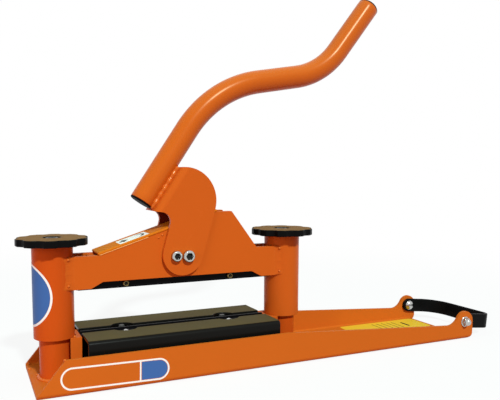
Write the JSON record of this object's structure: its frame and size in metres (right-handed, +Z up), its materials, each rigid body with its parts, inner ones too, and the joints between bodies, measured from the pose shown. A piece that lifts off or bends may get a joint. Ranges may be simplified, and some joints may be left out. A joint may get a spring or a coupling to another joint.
{
  "type": "masonry block splitter",
  "caption": "Hand-lever block splitter: channel base, bridge sliding on screw-set columns, cranked lever driving a bladed press bar, sprung stone supports and a strap carry handle.",
  "frame": {"origin": "on the ground under the base channel, midway between the two columns", "axes": "+X along the base towards the tail and the carry handle, +Y from the front to the back, +Z up"},
  "size_m": [0.8705, 0.1876, 0.6226],
  "materials": {
    "orange_paint": "glossy orange paint",
    "black_paint": "glossy black paint",
    "zinc_steel": "bright zinc",
    "yellow_zinc": "yellow zinc",
    "bronze": "plain bearing bronze",
    "spring_steel": "oiled spring wire",
    "black_plastic": "satin black moulding",
    "strap_plastic": "smooth black strap"
  },
  "bodies": {
    "base": {"base_channel": "orange_paint", "left_post": "orange_paint", "right_post": "orange_paint", "left_blade_bracket": "orange_paint", "right_blade_bracket": "orange_paint", "anvil_beam": "black_paint", "lower_blade": "black_paint", "lower_blade_bolts": "zinc_steel", "lower_blade_nuts": "zinc_steel", "left_spindle_nut": "bronze", "right_spindle_nut": "bronze", "support_guide_sockets": "orange_paint", "front_support_springs": "spring_steel", "rear_support_springs": "spring_steel", "handle_bolts": "zinc_steel", "handle_nuts": "zinc_steel"},
    "front_support": {"front_support": "black_paint", "front_guide_pins": "zinc_steel"},
    "rear_support": {"rear_support": "black_paint", "rear_guide_pins": "zinc_steel"},
    "bridge": {"left_sleeve": "orange_paint", "right_sleeve": "orange_paint", "left_guide_bushes": "bronze", "right_guide_bushes": "bronze", "left_sleeve_cap": "orange_paint", "right_sleeve_cap": "orange_paint", "front_bridge_plate": "orange_paint", "rear_bridge_plate": "orange_paint", "slope_strip": "orange_paint", "left_guide_block": "orange_paint", "right_guide_block": "orange_paint", "pivot_bolts": "zinc_steel", "pivot_washers": "zinc_steel"},
    "left_knob": {"left_knob": "black_plastic", "left_spindle": "zinc_steel", "left_collar": "zinc_steel", "left_knob_bolt": "zinc_steel", "left_thrust_washer": "bronze"},
    "right_knob": {"right_knob": "black_plastic", "right_spindle": "zinc_steel", "right_collar": "zinc_steel", "right_knob_bolt": "zinc_steel", "right_thrust_washer": "bronze"},
    "press": {"press_bar": "black_paint", "upper_blade": "black_paint", "upper_blade_bolts": "yellow_zinc", "upper_blade_nuts": "yellow_zinc"},
    "lever": {"lever_tube": "orange_paint", "lever_clevis": "orange_paint", "lower_tube_plug": "black_plastic", "upper_tube_plug": "black_plastic", "pivot_bushes": "bronze", "crank_bolt": "zinc_steel", "crank_nut": "zinc_steel", "crank_roller": "zinc_steel"},
    "carry_handle": {"carry_handle": "strap_plastic"}
  },
  "joints": [
    {"name": "bridge_height", "type": "slide", "parent": "base", "child": "bridge", "axis": [0, 0, 1], "range_m": [-0.035, 0.03]},
    {"name": "left_knob_turn", "type": "hinge", "parent": "bridge", "child": "left_knob", "pos_m": [-0.195, 0, 0.2], "axis": [0, 0, 1], "range_deg": [-3160, 2710]},
    {"name": "right_knob_turn", "type": "hinge", "parent": "bridge", "child": "right_knob", "pos_m": [0.195, 0, 0.2], "axis": [0, 0, 1], "range_deg": [-3160, 2710]},
    {"name": "lever_pull", "type": "hinge", "parent": "bridge", "child": "lever", "pos_m": [-0.011, 0, 0.183], "axis": [0, 1, 0], "range_deg": [0, 46]},
    {"name": "blade_press", "type": "slide", "parent": "bridge", "child": "press", "axis": [0, 0, -1], "range_m": [0, 0.0145]},
    {"name": "front_support_sink", "type": "slide", "parent": "base", "child": "front_support", "axis": [0, 0, -1], "range_m": [0, 0.005], "stiffness_N_per_m": 4000, "springref_m": -0.006, "deforming": ["front_support_springs"]},
    {"name": "rear_support_sink", "type": "slide", "parent": "base", "child": "rear_support", "axis": [0, 0, -1], "range_m": [0, 0.005], "stiffness_N_per_m": 4000, "springref_m": -0.006, "deforming": ["rear_support_springs"]},
    {"name": "carry_handle_swing", "type": "hinge", "parent": "base", "child": "carry_handle", "pos_m": [0.5455, 0, 0.034], "axis": [0, 1, 0], "range_deg": [-195, 7]}
  ],
  "couplings": [
    {"joint": "left_knob_turn", "follows": "bridge_height", "rad_per_m": 1570.8},
    {"joint": "right_knob_turn", "follows": "bridge_height", "rad_per_m": 1570.8},
    {"joint": "blade_press", "follows": "lever_pull", "m_per_rad": 0.0179}
  ]
}
